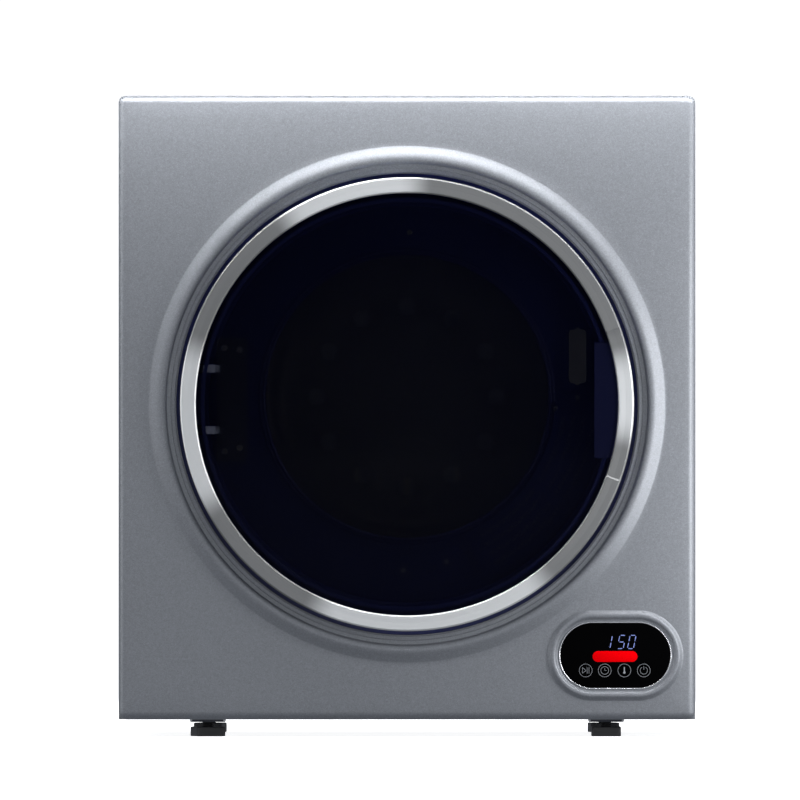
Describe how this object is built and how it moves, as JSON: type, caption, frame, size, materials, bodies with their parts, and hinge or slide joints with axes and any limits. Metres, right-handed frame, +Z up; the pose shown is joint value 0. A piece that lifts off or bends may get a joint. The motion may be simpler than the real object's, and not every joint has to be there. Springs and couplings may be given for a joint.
{
  "type": "clothes dryer",
  "caption": "Compact vented clothes dryer: a silver cabinet on screw feet with a round glass door and a belt-driven drum.",
  "frame": {"origin": "centre of the bounding box, on the floor under the feet", "axes": "+Z up, -Y out of the door's front, +X to the right as seen from the front"},
  "size_m": [0.6, 0.49, 0.667],
  "materials": {
    "front_panel": "fine metallic paint, satin",
    "left_side_panel": "fine metallic paint, satin",
    "right_side_panel": "fine metallic paint, satin",
    "top_panel": "fine metallic paint, satin",
    "rear_panel": "zinc coated sheet",
    "base_pan": "zinc coated sheet",
    "front_bulkhead": "moulded, satin",
    "drum_felt_ring": "pressed felt",
    "door_seal": "moulded",
    "hinge_bracket": "machined",
    "latch_catch": "moulded, matt",
    "filter_cover": "moulded, satin",
    "lint_screen": "moulded, matt",
    "outlet_duct": "moulded, matt",
    "blower_housing": "moulded, matt",
    "exhaust_duct": "moulded, matt",
    "exhaust_collar": "moulded, matt",
    "cord_gland": "moulded, matt",
    "door_switch": "moulded, matt",
    "control_bezel": "fine metallic paint, satin",
    "control_lens": "dark, polished",
    "display_module": "moulded, matt",
    "control_board": "solder mask",
    "control_housing": "moulded, matt",
    "rear_brace": "zinc coated sheet",
    "shaft_bearing": "machined",
    "heater_shroud": "zinc coated sheet",
    "ptc_heater": "finned",
    "thermal_cutout": "machined",
    "motor_housing": "satin black",
    "motor_bracket": "zinc coated sheet",
    "motor_capacitor": "moulded, matt",
    "power_board": "solder mask",
    "drive_belt": "moulded",
    "idler_bracket": "zinc coated sheet",
    "idler_spring": "machined",
    "drum_shell": "zinc coated sheet",
    "drum_back": "zinc coated sheet",
    "drum_lifter_1": "moulded, matt",
    "drum_lifter_2": "moulded, matt",
    "drum_lifter_3": "moulded, matt",
    "drum_shaft": "machined",
    "motor_shaft": "machined",
    "motor_pulley": "machined",
    "blower_wheel": "moulded, matt",
    "idler_arm": "zinc coated sheet",
    "idler_pulley": "moulded, matt",
    "door_ring": "silver, satin",
    "door_glass": "dark, polished",
    "door_frame": "moulded, satin",
    "door_bowl": "clear, tinted",
    "handle_cup": "moulded, matt",
    "door_striker": "machined",
    "hinge_pin": "machined",
    "switch_plunger": "moulded, matt",
    "foot_front_left": "moulded, matt",
    "foot_front_right": "moulded, matt",
    "foot_rear_left": "moulded, matt",
    "foot_rear_right": "moulded, matt"
  },
  "bodies": {
    "cabinet": {"front_panel": "front_panel", "left_side_panel": "left_side_panel", "right_side_panel": "right_side_panel", "top_panel": "top_panel", "rear_panel": "rear_panel", "base_pan": "base_pan", "front_bulkhead": "front_bulkhead", "drum_felt_ring": "drum_felt_ring", "door_seal": "door_seal", "hinge_bracket": "hinge_bracket", "latch_catch": "latch_catch", "filter_cover": "filter_cover", "lint_screen": "lint_screen", "outlet_duct": "outlet_duct", "blower_housing": "blower_housing", "exhaust_duct": "exhaust_duct", "exhaust_collar": "exhaust_collar", "cord_gland": "cord_gland", "door_switch": "door_switch", "control_bezel": "control_bezel", "control_lens": "control_lens", "display_module": "display_module", "control_board": "control_board", "control_housing": "control_housing", "rear_brace": "rear_brace", "shaft_bearing": "shaft_bearing", "heater_shroud": "heater_shroud", "ptc_heater": "ptc_heater", "thermal_cutout": "thermal_cutout", "motor_housing": "motor_housing", "motor_bracket": "motor_bracket", "motor_capacitor": "motor_capacitor", "power_board": "power_board", "drive_belt": "drive_belt", "idler_bracket": "idler_bracket", "idler_spring": "idler_spring"},
    "drum": {"drum_shell": "drum_shell", "drum_back": "drum_back", "drum_lifter_1": "drum_lifter_1", "drum_lifter_2": "drum_lifter_2", "drum_lifter_3": "drum_lifter_3", "drum_shaft": "drum_shaft"},
    "motor_rotor": {"motor_shaft": "motor_shaft", "motor_pulley": "motor_pulley", "blower_wheel": "blower_wheel"},
    "idler_arm": {"idler_arm": "idler_arm"},
    "idler_wheel": {"idler_pulley": "idler_pulley"},
    "door": {"door_ring": "door_ring", "door_glass": "door_glass", "door_frame": "door_frame", "door_bowl": "door_bowl", "handle_cup": "handle_cup", "door_striker": "door_striker", "hinge_pin": "hinge_pin"},
    "switch_plunger": {"switch_plunger": "switch_plunger"},
    "foot_front_left": {"foot_front_left": "foot_front_left"},
    "foot_front_right": {"foot_front_right": "foot_front_right"},
    "foot_rear_left": {"foot_rear_left": "foot_rear_left"},
    "foot_rear_right": {"foot_rear_right": "foot_rear_right"}
  },
  "joints": [
    {"name": "door_swing", "type": "hinge", "parent": "cabinet", "child": "door", "pos_m": [-0.22396, -0.2325, 0.351], "axis": [0, 0, -1], "range_deg": [0, 100]},
    {"name": "drum_spin", "type": "hinge", "parent": "cabinet", "child": "drum", "pos_m": [0, -0.175, 0.354], "axis": [0, 1, 0], "continuous": true},
    {"name": "motor_spin", "type": "hinge", "parent": "cabinet", "child": "motor_rotor", "pos_m": [0.215, 0.01, 0.1], "axis": [0, 1, 0], "continuous": true},
    {"name": "idler_arm_swing", "type": "hinge", "parent": "cabinet", "child": "idler_arm", "pos_m": [0.2, 0.01, 0.06], "axis": [0, -1, 0], "range_deg": [0, 12], "stiffness_Nm_per_rad": 2, "springref_deg": -17.19},
    {"name": "idler_spin", "type": "hinge", "parent": "idler_arm", "child": "idler_wheel", "pos_m": [0.165, 0.01, 0.079], "axis": [0, 1, 0], "continuous": true},
    {"name": "plunger_slide", "type": "slide", "parent": "cabinet", "child": "switch_plunger", "axis": [0, -1, 0], "range_m": [0, 0.003]},
    {"name": "foot_front_left_screw", "type": "slide", "parent": "cabinet", "child": "foot_front_left", "axis": [0, 0, -1], "range_m": [0, 0.01]},
    {"name": "foot_front_right_screw", "type": "slide", "parent": "cabinet", "child": "foot_front_right", "axis": [0, 0, -1], "range_m": [0, 0.01]},
    {"name": "foot_rear_left_screw", "type": "slide", "parent": "cabinet", "child": "foot_rear_left", "axis": [0, 0, -1], "range_m": [0, 0.01]},
    {"name": "foot_rear_right_screw", "type": "slide", "parent": "cabinet", "child": "foot_rear_right", "axis": [0, 0, -1], "range_m": [0, 0.01]}
  ],
  "couplings": [
    {"joint": "motor_spin", "follows": "drum_spin", "ratio": 25.95},
    {"joint": "idler_spin", "follows": "drum_spin", "ratio": -16.4},
    {"joint": "plunger_slide", "follows": "door_swing", "m_per_rad": 0.00171}
  ]
}
